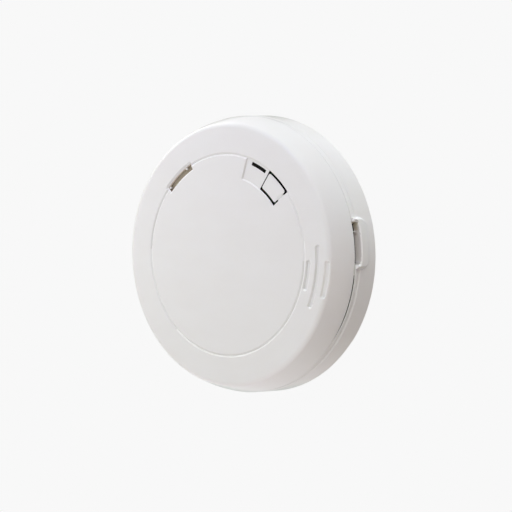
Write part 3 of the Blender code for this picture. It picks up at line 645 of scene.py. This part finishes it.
# the rim's foot and the inside of the side wall: radius, z
COVER_INSIDE = [
    (R_RIM, 16.28), (R_RIM - 0.07, 16.12), (R_RIM - 0.2, 16.02), (R_RIM - 0.4, Z_RIM),
    (67.60, Z_RIM), (67.38, 16.04), (67.28, 16.2), (67.15, 17.6), (67.0, 19.2), (66.3, 21.8),
    (65.75, 23.6), (65.0, 25.2), (64.0, 26.6), (62.9, 27.6), (61.9, Z_UNDER),
]
rows = [(0.0, Z_FACE)]
rows += [(r, shoulder(r) - face_depth(r, angles)) for r in r_lines]
first_tilt = math.asin((r_lines[-1] - R_SHOULDER) / R_EDGE)
for t in np.linspace(first_tilt, math.radians(90 - DRAFT), 9)[1:]:
    rows.append((R_SHOULDER + R_EDGE * math.sin(t), Z_FACE - R_EDGE * (1 - math.cos(t))))
r_wall, z_wall = rows[-1]
for k in (0.08, 0.17, 0.28, 0.4, 0.52, 0.64, 0.76, 0.88, 1.0):
    bulge = 0.32 * math.sin(math.pi * k)
    rows.append((r_wall + (R_RIM - r_wall) * k + bulge, z_wall + (16.5 - z_wall) * k))
rows += COVER_INSIDE
under = [float(r) for r in r_lines if r < 61.6][::-1]
top_row = {round(float(r), 6): 1 + k for k, r in enumerate(r_lines)}
under_row = {round(r, 6): len(rows) + k for k, r in enumerate(under)}
rows += [(r, Z_UNDER) for r in under]
rows.append((0.0, Z_UNDER))

mask = np.zeros((len(rows), cols), bool)
walls = []
for (r0, r1, a0, a1), slot in HOLES:
    j0, j1 = (int(np.argmin(np.abs(angles - a))) for a in (a0, a1))
    i0, i1 = top_row[round(r0, 6)], top_row[round(r1, 6)]
    u0, u1 = under_row[round(r0, 6)], under_row[round(r1, 6)]
    mask[i0:i1, j0:j1] = True
    mask[u1:u0, j0:j1] = True
    walls.append((i0, i1, u0, u1, j0, j1, slot))

faces = skin_faces(len(rows), cols, mask)
paint = [0] * len(faces)
for i0, i1, u0, u1, j0, j1, slot in walls:
    loops = []
    for j in range(j0, j1):
        loops.append(((i0, j), (u0, j), (u0, j + 1), (i0, j + 1)))
        loops.append(((i1, j), (i1, j + 1), (u1, j + 1), (u1, j)))
    for k in range(i1 - i0):
        i, u = i0 + k, u0 - k
        loops.append(((i, j0), (i + 1, j0), (u - 1, j0), (u, j0)))
        loops.append(((i, j1), (u, j1), (u - 1, j1), (i + 1, j1)))
    faces += [tuple(skin_id(i, j, cols) for i, j in loop) for loop in loops]
    paint += [slot] * len(loops)
cover = mesh_from("front_cover_shell", skin_verts(rows, angles), faces, *COVER_MATS)
cover.data.polygons.foreach_set("material_index", paint)
# the horn slot's outer wall takes the lighter tan, painted light where it lies in shade
for p in cover.data.polygons:
    if p.material_index == IN_TAN_SHADE and math.hypot(*centre_mm(p)[:2]) > 50.9:
        p.material_index = IN_HORN_LIGHT

# posts for the four screws, and two small nubs on the horn slot's outer wall
POST = [(0, 28.9), (3.5, 28.9), (3.3, 9.6), (3.0, 9.3), (1.55, 9.3), (1.55, 19.5), (0, 19.9)]
NUB = [(0, 29.8), (0.28, 29.74), (0.47, 29.55), (0.55, 29.2), (0.55, 28.35), (0, 28.35)]
NUBS = [polar(50.3, 121.2), polar(50.1, 137.9)]
screw_points = [polar(SCREW_R, a) for a in SCREWS]
posts = [turned(f"post_{k}", POST, 32, at) for k, at in enumerate(screw_points)]
posts += [turned(f"nub_{k}", NUB, 20, at) for k, at in enumerate(NUBS)]
combine(cover, posts, "UNION")
paint_light_and_shade(cover, IN_HIGHLIGHT, IN_GROOVE_SHADE)
# painted highlight on the tops of the two nubs
for p in cover.data.polygons:
    x, y, z = centre_mm(p)
    if z > 28.6 and min(math.hypot(x - nub[0], y - nub[1]) for nub in NUBS) < 0.53:
        p.material_index = IN_HIGHLIGHT
finish(cover, "alarm", "front_cover")

# =====================================================================
# rear housing: a closed skin whose rows change height and radius round the three vents
# =====================================================================
FLOOR_IN, FLOOR_OUT = 6.6, 4.6      # the floor's two faces
BAR = 4.4                           # the upright bar in a vent, in degrees from its middle
LIP_Z, STRETCH_Z = 15.22, 12.2      # heights between which the skirt stretches to meet the lip

rear_fine = []
for c in VENTS:
    rear_fine += [(c - 12.6, c - 6.8, 0.2), (c + 4.6, c + 12.6, 0.2)]
rear_a = graded(-180.0, 178.6, 1.25, rear_fine)

# all of these run along rear_a
off = np.min(np.stack([np.abs(wrap(rear_a - c)) for c in VENTS]), axis=0)
side = np.zeros(len(rear_a))        # signed degrees from the nearest vent, 0 far from all
for c in VENTS:
    w = wrap(rear_a - c)
    side = np.where(np.abs(w) < 30, w, side)
in_vent = fall(8.0, 8.5, off)
near_vent = fall(10.8, 12.0, off)
rib = np.clip(2.2 * fall(0, 1, np.clip(np.abs(side - BAR) / 0.75, 0, 1)), 0, 1)
# the seam under the cover is widest on the right, but for a narrower spot at -5.5 degrees
seam_gap = (0.03 + 0.68 * (1 - 0.6 * fall(1.0, 4.0, np.abs(rear_a + 5.5)))
            * smooth(-40, -24, rear_a) * fall(6, 17, rear_a)
            + 0.05 * fall(17, 40, np.abs(rear_a)))
seam_z = Z_RIM - seam_gap
lip_top = seam_z + (np.where(side > BAR, 13.4, 13.85) - seam_z) * in_vent * (1 - rib)
shut = 1 - np.clip((seam_gap - 0.03) / 0.15, 0, 1)
notch = 0.42 * smooth(-60, -30, rear_a) * fall(17, 36, rear_a) + 0.04
hood_r = np.where(np.abs(wrap(rear_a - VENTS[0])) < 40, 71.4, 70.5)
tongue = 18.6 - 4.9 * fall(7.4, 8.1, off) * (1 - rib)
cavity = 13.2 - 3.2 * near_vent
from_middle, from_bar = (d * math.pi / 180 * 70.0 for d in (off, side - BAR))  # millimetres


def skirt(z):
    """Radius of the outer skin at each grid angle, for a height or a height at each angle."""
    flare = (0.3 + (11.6 - np.minimum(z, 11.6)) * 0.055) * fall(11.6, 12.5, z)
    base = 69.6 - 0.18 * shut + flare - notch * fall(0.0, 0.75, np.abs(z - 12.75))
    base = base - 0.25 * fall(0.35, 1.0, z) ** 2
    # a hood swells around each vent's opening
    opening = round_rect((from_middle - 9.9) * 0.62, 12.95 - z, 1.7)
    swell = fall(1.1, 2.8, round_rect(from_middle - 9.9, 9.0 - z, 1.7))
    crest = hood_r - 0.7 * fall(-0.1, 0.8, opening)
    r = base + (np.maximum(crest, base) - base) * swell
    # the opening goes in to its floor, but for the bar
    floor_r, bar_r = 68.35, 69.9
    r = np.where(opening < 0.1, floor_r + (r - floor_r) * smooth(-0.42, 0.1, opening), r)
    bar = np.clip(1.6 - 1.6 * np.abs(from_bar) / 0.9, 0, 1) * (opening < 0.1)
    return r + (np.maximum(r, bar_r) - r) * bar


skirt_z = np.concatenate([
    [LIP_Z, 15.1, 14.9, 14.5, 14.2, 13.9, 13.6, 13.4], np.arange(13.2, 12.0, -0.11),
    np.arange(12.0, 8.2, -0.2),
    [8.0, 7.6, 7.0, 6.0, 4.6, 3.2, 2.2, 1.7, 1.35, 1.05, 0.8, 0.6, 0.48],
])
lip_out = skirt(LIP_Z)
# inside floor, then up and over the tongue to the lip: radius, z
rows = [(r, FLOOR_IN) for r in (0, 12, 26, 40, 52, 60, 64.9)]
rows += [
    (65.3, 7.0), (65.3, 13.6), (65.3, tongue - 0.15), (65.45, tongue),
    (66.65, tongue), (66.8, tongue - 0.15), (66.9, np.minimum(lip_top + 0.12, tongue - 0.18)),
    (67.0, lip_top), (lip_out - 0.45 + 0.3 * shut, lip_top),
    (lip_out - 0.14 + 0.09 * shut, lip_top - 0.03 + 0.02 * shut),
]
for z in skirt_z:
    stretch = (z - STRETCH_Z) * (lip_top - 0.08 - STRETCH_Z) / (LIP_Z - STRETCH_Z)
    z_here = np.where(z > STRETCH_Z, STRETCH_Z + stretch, z)
    rows.append((skirt(z_here), z_here))
# round the foot, up the hollow behind the skirt and along the back of the floor
rows += [
    (70.0, 0.4), (69.5, 0.4), (69.25, 0.55), (69.2, 0.9), (69.2, cavity - 0.6),
    (69.2 - 0.9 * near_vent, cavity - 0.15), (69.0 - 0.9 * near_vent, cavity),
    (67.4, cavity), (67.15, cavity - 0.2), (67.1, 9.0), (67.1, 4.9),
]
rows += [(r, FLOOR_OUT) for r in (66.8, 64.0, 58, 48, 36, 24, 12, 0)]
rear = mesh_from("rear_housing_shell", skin_verts(rows, rear_a),
                 skin_faces(len(rows), len(rear_a)),
                 SHELL_REAR, VENT_SHADE, VENT_TAN_SHADE, GAP_SHADE, PAINTED_HIGHLIGHT, SHADE)
IN_VENT_SHADE, IN_TAN_SHADE, IN_GAP_SHADE, IN_HIGHLIGHT, IN_SHADE = range(1, 6)
# painted shade in each vent: near black in the slit under the cover, tan and grey further in; the
# seam's floor on the right is painted near black
for p in rear.data.polygons:
    x, y, z = centre_mm(p)
    r, a = math.hypot(x, y), math.degrees(math.atan2(y, x))
    w = min((wrap(a - c) for c in VENTS), key=abs)
    if abs(w) < 8.6 and 67.05 < r < 70.75 and 12.3 < z < 15.1:
        p.material_index = IN_GAP_SHADE if r < 67.9 else IN_TAN_SHADE if w > 5.0 and r < 69.8 else IN_VENT_SHADE
    elif 66.7 < r < 69.05 and z > 15.0 and -36 < a < -7:
        p.material_index = IN_GAP_SHADE
    # the ends of the hood round the visible vent: painted highlight where they face up, painted
    # shade where they face down
    elif (8.2 < abs(w) < 13.6 and r > 69.7 and 5.0 < z < 15.2
          and abs(wrap(a - VENTS[0])) < 14):
        t = math.radians(a)
        lean = -p.normal.x * math.sin(t) + p.normal.z * math.cos(t)
        if lean > 0.2:
            p.material_index = IN_HIGHLIGHT
        elif lean < -0.2:
            p.material_index = IN_SHADE

# profiles of (radius, z)
CUP = [(0, 9.0), (4.3, 9.0), (4.5, 8.8), (4.6, 6.0), (0, 6.0)]
WELL = [(0, 7.2), (3.1, 7.2), (3.1, 4.75), (3.4, 4.4), (3.4, 3.0), (0, 3.0)]
WAY = [(0, 12.0), (1.7, 12.0), (1.7, 6.0), (0, 6.0)]
STANDOFF = [(0, 10.2), (2.6, 10.2), (2.8, 10.0), (2.9, 6.0), (0, 6.0)]
STANDOFF_HOLE = [(0, 12.0), (1.05, 12.0), (1.05, 7.4), (0, 7.4)]
LABEL_RECESS = [(0, 4.9), (32.8, 4.9), (33.0, 4.7), (33.0, 3.0), (0, 3.0)]
adds, cuts = [], []
for k, a in enumerate(LOCKS):
    adds.append(plate(f"lug_{k}", outline_sector(65.6, 69.7, a - 6.5, a + 6.5, 0.4), 0.6, 1.9))
for k, at in enumerate(screw_points):
    adds.append(turned(f"cup_{k}", CUP, 40, at))
    cuts.append(turned(f"well_{k}", WELL, 40, at))
    cuts.append(turned(f"way_{k}", WAY, 28, at))
for k, at in enumerate(((-48.0, -10.0), (42.0, -32.0), (6.0, 47.0))):
    adds.append(turned(f"standoff_{k}", STANDOFF, 32, at))
    cuts.append(turned(f"standoff_hole_{k}", STANDOFF_HOLE, 24, at))
for k, dx in enumerate((-9.0, 9.0)):
    adds.append(block(f"cradle_{k}", (2.0, 15.0, 5.0), (CELL[0] + dx, CELL[1], 8.6)))
cuts.append(block("power_window", (10.4, 4.2, 6.0), (10.0, SWITCH_Y, 5.6), bevel=0.3))
cuts.append(turned("label_recess", LABEL_RECESS, 120, (0, -14)))
# a cylinder along x hollows the cradle to the cell's round
saddle = turned("saddle_cut", [(0, 30), (8.75, 30), (8.75, -30), (0, -30)], 64)
saddle.data.transform(Matrix.Translation(Vector(to_world(CELL).tolist()))
                      @ Matrix.Rotation(math.pi / 2, 4, "Z"))
cuts.append(saddle)
combine(rear, adds, "UNION")
combine(rear, cuts, "DIFFERENCE")
finish(rear, "alarm", "rear_housing")

# =====================================================================
# wall bracket
# =====================================================================
SLOT_R, SLOT_WIDTH = 52.0, 4.6
holes = [outline_sector(19, 40, a - 38, a + 38, 2.5, 1.5) for a in (90, 210, 330)]
holes += [outline_keyhole(SLOT_R, a - 13, SLOT_WIDTH, key_a=a + 10, key_r=4.6) for a in (30, 210)]
holes += [outline_arc_slot(SLOT_R, a - 7, a + 7, SLOT_WIDTH) for a in (121.3, 301.3)]
# the gap round a spring tongue
holes.append(arc(57.8, 150, 170.4, 11) + arc(60.2, 170.4, 150, 11)
             + arc(61.4, 150, 172, 12) + arc(56.6, 172, 150, 12))
disc = [(64.4 * math.cos(2 * math.pi * i / 180), 64.4 * math.sin(2 * math.pi * i / 180))
        for i in range(180)]
bracket = plate("wall_bracket", disc, 0.0, 1.8, BRACKET, holes=holes, bevel=0.25)
RIM = [(64.5, 3.35), (64.5, 0.35), (64.15, 0.02), (62.9, 0.9), (62.45, 1.5), (62.65, 3.35),
       (62.9, 3.6), (64.25, 3.6)]
HUB_RIB = [(15.75, 3.0), (15.85, 1.0), (13.75, 1.0), (13.85, 3.0), (14.05, 3.2), (15.55, 3.2)]
adds = [turned_ring("rim", RIM, 180), turned_ring("hub_rib", HUB_RIB, 96)]
for k, a in enumerate(LOCKS):
    adds.append(plate(f"tab_{k}", outline_sector(63.4, 68.5, a - 6.7, a + 6.7, 0.6), 2.3, 3.4))
combine(bracket, adds, "UNION")
finish(bracket, "bracket", "mounting_bracket")


# =====================================================================
# test button and light pipe: rounded plates on a bent grid
# =====================================================================
def corner_grid(us, vs, cu, cv):
    """Bends a grid on the unit square so that its corners are round.

    cu and cv are the corner's share of each side."""
    u, v = np.meshgrid(us, vs, indexing="ij")
    out_u, out_v = u.copy(), v.copy()
    for su in (0, 1):
        for sv in (0, 1):
            lu = (cu - u) / cu if su == 0 else (u - 1 + cu) / cu
            lv = (cv - v) / cv if sv == 0 else (v - 1 + cv) / cv
            m = (lu > 0) & (lv > 0)
            x = lu * np.sqrt(np.clip(1 - lv * lv / 2, 0, 1))
            y = lv * np.sqrt(np.clip(1 - lu * lu / 2, 0, 1))
            out_u[m] = (cu - x * cu if su == 0 else 1 - cu + x * cu)[m]
            out_v[m] = (cv - y * cv if sv == 0 else 1 - cv + y * cv)[m]
    return out_u, out_v


def edge_share(share, n_mid):
    """Grid lines from 0 to 1, crowded towards both ends within share of them."""
    e = share * (np.linspace(0, 1, 10) ** 1.5)
    return np.concatenate([e, np.linspace(share, 1 - share, n_mid + 2)[1:-1], 1 - e[::-1]])


def round_sector_plate(name, box, corner, z_top, z_bottom, edge, *mats, dip=None):
    """A box's plate with its top edge rounded by edge and its top lowered by dip(r, a).

    A second material goes on its sides."""
    r0, r1, a0, a1 = box
    length_r, length_a = r1 - r0, (a1 - a0) * math.pi / 180 * ((r0 + r1) / 2)
    share_r, share_a = corner / length_r, corner / length_a
    u, v = corner_grid(edge_share(share_r, 10), edge_share(share_a, 12), share_r, share_a)
    r = r0 + u * length_r
    a = a0 + v * (a1 - a0)
    t = np.clip(np.clip(-sector_distance(r, a, box, corner), 0, None) / edge, 0, 1)
    z = z_top - edge * (1 - np.sqrt(1 - (1 - t) ** 2))
    if dip:
        z = z - dip(r, a)
    x, y = polar(r, a)
    nu, nv = u.shape
    top = np.stack([x, y, z], -1).reshape(-1, 3)
    low = np.stack([x, y, np.full_like(z, z_bottom)], -1).reshape(-1, 3)
    n = nu * nv
    faces = []
    for i in range(nu - 1):
        for j in range(nv - 1):
            p, q = i * nv + j, (i + 1) * nv + j
            faces.append((p, q, q + 1, p + 1))
            faces.append((n + p, n + p + 1, n + q + 1, n + q))
    loop = [(i, 0) for i in range(nu - 1)] + [(nu - 1, j) for j in range(nv - 1)]
    loop += [(i, nv - 1) for i in range(nu - 1, 0, -1)] + [(0, j) for j in range(nv - 1, 0, -1)]
    ids = [i * nv + j for i, j in loop]
    flat = len(faces)
    for p, q in zip(ids, ids[1:] + ids[:1]):
        faces.append((q, p, n + p, n + q))
    o = mesh_from(name, np.concatenate([top, low]), faces, *mats)
    if len(mats) > 1:
        paint = [0] * flat + [1] * (len(faces) - flat)
        o.data.polygons.foreach_set("material_index", paint)
    return o


def hinge_dip(r, a):
    along = fall(0.0, 1.5, (a - BUTTON[2]) * math.pi / 180 * r)
    return 0.5 * along * smooth(42.2, 43.2, r) * fall(46.5, 47.5, r)


# the button's sides take the near-black painted shade
button = round_sector_plate("test_button_cap", BUTTON, 0.95, 29.62, 27.6, 0.25, SHELL, GAP_SHADE,
                            dip=hinge_dip)
post_x, post_y = polar(45.0, 45.0)
BUTTON_POST = [(0, 28.2), (1.7, 28.2), (1.7, 18.6), (1.4, 18.3), (0, 18.3)]
strap = outline_sector(42.7, 47.0, 38.22, 39.95, step=0.5)
combine(button, [
    plate("strap", strap, 27.9, 28.98, bevel=0.0),
    turned("button_post", BUTTON_POST, 28, (post_x, post_y)),
    block("button_rib", (7.0, 1.0, 3.4), (post_x, post_y, 26.6), turn=45.0),
], "UNION")
# painted highlight on the button's slopes that face the light
button.data.materials.append(PAINTED_HIGHLIGHT)
paint_light_and_shade(button, len(button.data.materials) - 1, 0)
finish(button, "button", "test_button")

pipe = round_sector_plate("status_window", (47.5, 48.8, 57.9, 68.7), 0.3, 28.95, 18.0, 0.2, PIPE)
flange = outline_sector(46.6, 49.9, 57.2, 69.2, 0.3)
combine(pipe, [plate("pipe_flange", flange, 26.6, 27.9, bevel=0.15)], "UNION")
finish(pipe, "alarm", "light_pipe")

# =====================================================================
# power switch knob, in the rear housing's window
# =====================================================================
KNOB_X, GRIP_PITCH = 8.0, 1.2
knob = block("power_knob", (5.2, 3.2, 2.2), (KNOB_X, SWITCH_Y, 5.4), BLACK, bevel=0.4, seg=4)
grips = [block(f"knob_grip_{k}", (0.45, 4.0, 0.8),
               (KNOB_X - GRIP_PITCH + GRIP_PITCH * k, SWITCH_Y, 4.4), bevel=0.12)
         for k in range(3)]
combine(knob, [block("knob_stem", (2.0, 1.4, 3.3), (KNOB_X, SWITCH_Y, 7.0))], "UNION")
combine(knob, grips, "DIFFERENCE")
finish(knob, "power_knob", "power_switch_knob")

# =====================================================================
# the pieces inside keep their CAD shape and get their own materials
# =====================================================================
INSIDE = (
    (LAMINATE, "circuit_board"),
    (BLACK, "controller_chip tact_switch_body tact_switch_plunger chamber_base chamber_cap"),
    (CAPACITOR, "storage_capacitor"),
    (COPPER, "horn_coil"),
    (LED, "status_led"),
    # the horn housing and its ring take the tan painted shade
    (TAN_SHADE, "horn_housing horn_retaining_ring"),
    (BRASS, "piezo_disc"),
    (CERAMIC, "piezo_ceramic"),
    (NICKEL, "piezo_spring_centre piezo_spring_feedback piezo_spring_rim"
             " battery_tab_positive battery_tab_negative"),
    (INFRARED, "infrared_emitter photodiode"),
    (SLEEVE, "lithium_cell"),
    (FOAM, "battery_foam_pad"),
    (STEEL, "power_switch_can insect_screen board_screw_1 board_screw_2 board_screw_3"
            " cover_screw_1 cover_screw_2 cover_screw_3 cover_screw_4"),
)
for mat, nodes in INSIDE:
    for node in nodes.split():
        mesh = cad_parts[node].data
        mesh.materials.clear()
        mesh.materials.append(mat)
        mesh.shade_smooth()

# =====================================================================
# floor and world: the camera sees both as one grey, so no line shows where they meet
# =====================================================================
GREY = (0.939, 0.939, 0.939, 1)
WORLD_LIGHT = (0.160, 0.141, 0.071, 1)

net = Net("floor_pale")
clouds = net.remap(net.noise(1.3), span=(0.3, 0.7))
net.feed(Base_Color=net.mix(clouds, (0.90, 0.90, 0.90), (0.915, 0.915, 0.915)))
net.p.inputs["Roughness"].default_value = 0.9
glow = net.node("ShaderNodeEmission", Color=GREY)
path = net.node("ShaderNodeLightPath")
mixer = net.node("ShaderNodeMixShader")
net.link(path.outputs["Is Camera Ray"], mixer.inputs[0])
net.link(net.p.outputs[0], mixer.inputs[1])
net.link(glow.outputs[0], mixer.inputs[2])
net.link(mixer.outputs[0], net.t.nodes["Material Output"].inputs["Surface"])

bm = bmesh.new()
bmesh.ops.create_circle(bm, cap_ends=True, radius=6.0, segments=96)
mesh = bpy.data.meshes.new("floor")
bm.to_mesh(mesh)
bm.free()
floor = place("floor", mesh, net.m)
floor.location = (0, 0, -0.36)
floor.visible_diffuse = floor.visible_glossy = floor.visible_shadow = False

world = bpy.data.worlds.new("studio")
scene.world = world
world.use_nodes = True
tree = world.node_tree
tree.nodes.clear()
world_out = tree.nodes.new("ShaderNodeOutputWorld")
seen = tree.nodes.new("ShaderNodeBackground")
seen.inputs["Color"].default_value = GREY
lit = tree.nodes.new("ShaderNodeBackground")
lit.inputs["Color"].default_value = WORLD_LIGHT
path = tree.nodes.new("ShaderNodeLightPath")
mixer = tree.nodes.new("ShaderNodeMixShader")
tree.links.new(path.outputs["Is Camera Ray"], mixer.inputs[0])
tree.links.new(lit.outputs[0], mixer.inputs[1])
tree.links.new(seen.outputs[0], mixer.inputs[2])
tree.links.new(mixer.outputs[0], world_out.inputs[0])

# =====================================================================
# lights and camera: azimuth runs from straight ahead of the alarm (-Y) towards +X, elevation up
# =====================================================================
BOX_REACH, BOX_SIZE = 0.4, 0.3      # metres
SUN_SPREAD = 45.0

# round soft boxes close by, for the slow fall of light: name, azimuth, elevation, RGB power
SOFT_BOXES = (
    ("key_left", -60, 10, (0.347, 0.336, 0.347)),
    ("key_middle", -30, 30, (0.004, 0.046, 0.004)),
    ("key_top", 0, 60, (0.225, 0.162, 0.398)),
)
# even light from far away, same columns
SOFT_SUNS = (
    ("overhead", 0, 90, (0.026, 0.085, 0.002)),
    ("front_right", 20, 35, (0.259, 0.251, 0.249)),
    ("right_top", 60, 65, (0.185, 0.234, 0.224)),
    ("right_top_2", 90, 65, (0.114, 0.089, 0.078)),
    ("right_high", 100, 35, (0.049, 0.059, 0.100)),
    ("right_level", 100, 0, (0.019, 0.002, 0.042)),
    ("right_front", 60, 0, (0.002, 0.007, 0.049)),
    ("right_low", 80, -20, (0.096, 0.072, 0.025)),
    ("back_top", 180, 65, (0.123, 0.112, 0.106)),
    ("back_left", -100, 35, (0.422, 0.415, 0.423)),
    ("back_level", 180, 20, (0.200, 0.214, 0.250)),
    ("back_right", 140, 20, (0.074, 0.094, 0.103)),
    ("back_low", 180, -60, (0.070, 0.086, 0.073)),
    ("back_left_low", -130, -20, (0.089, 0.126, 0.116)),
    ("floor_back", -150, -50, (0.076, 0.066, 0.087)),
    ("front_low", -20, -35, (0.217, 0.215, 0.246)),
    ("front_right_low", 20, -35, (0.031, 0.061, 0.029)),
    ("left_low", -90, -45, (0.193, 0.178, 0.188)),
    ("floor_glow", 0, -65, (0.234, 0.207, 0.273)),
)


def direction(azimuth, elevation):
    a, e = math.radians(azimuth), math.radians(elevation)
    return Vector((math.sin(a) * math.cos(e), -math.cos(a) * math.cos(e), math.sin(e)))


def light(name, kind, azimuth, elevation, power):
    data = bpy.data.lights.new(name, kind)
    data.color = tuple(c / max(power) for c in power)
    o = bpy.data.objects.new(name, data)
    scene.collection.objects.link(o)
    towards = direction(azimuth, elevation)
    o.rotation_euler = towards.to_track_quat("Z", "Y").to_euler()
    if kind == "SUN":
        data.energy = math.pi * max(power)
        data.angle = math.radians(SUN_SPREAD)
    else:
        data.energy = max(power)
        data.shape = "DISK"
        data.size = BOX_SIZE
        o.location = towards * BOX_REACH
        o.visible_camera = False


for name, azimuth, elevation, power in SOFT_BOXES:
    light(name, "AREA", azimuth, elevation, power)
for name, azimuth, elevation, power in SOFT_SUNS:
    light(name, "SUN", azimuth, elevation, power)

CAMERA_AZ, CAMERA_EL = 39.78, 1.98
CAMERA_DIST, SHIFT_LEFT, SHIFT_DOWN = 0.71, 0.0036, 0.0013     # metres
back = direction(CAMERA_AZ, CAMERA_EL)
right = Vector((math.cos(math.radians(CAMERA_AZ)), math.sin(math.radians(CAMERA_AZ)), 0))
up = back.cross(right)
cam_data = bpy.data.cameras.new("camera")
cam_data.sensor_width = 36.0
cam_data.lens = 97.47421875
cam_data.clip_start = 0.01
cam = bpy.data.objects.new("camera", cam_data)
scene.collection.objects.link(cam)
cam.location = back * CAMERA_DIST - right * SHIFT_LEFT - up * SHIFT_DOWN
cam.rotation_euler = back.to_track_quat("Z", "Y").to_euler()
scene.camera = cam
scene.view_settings.view_transform = "Standard"
scene.view_settings.look = "None"
scene.view_settings.exposure = 0.0
scene.view_settings.gamma = 1.0

bpy.context.view_layer.update()
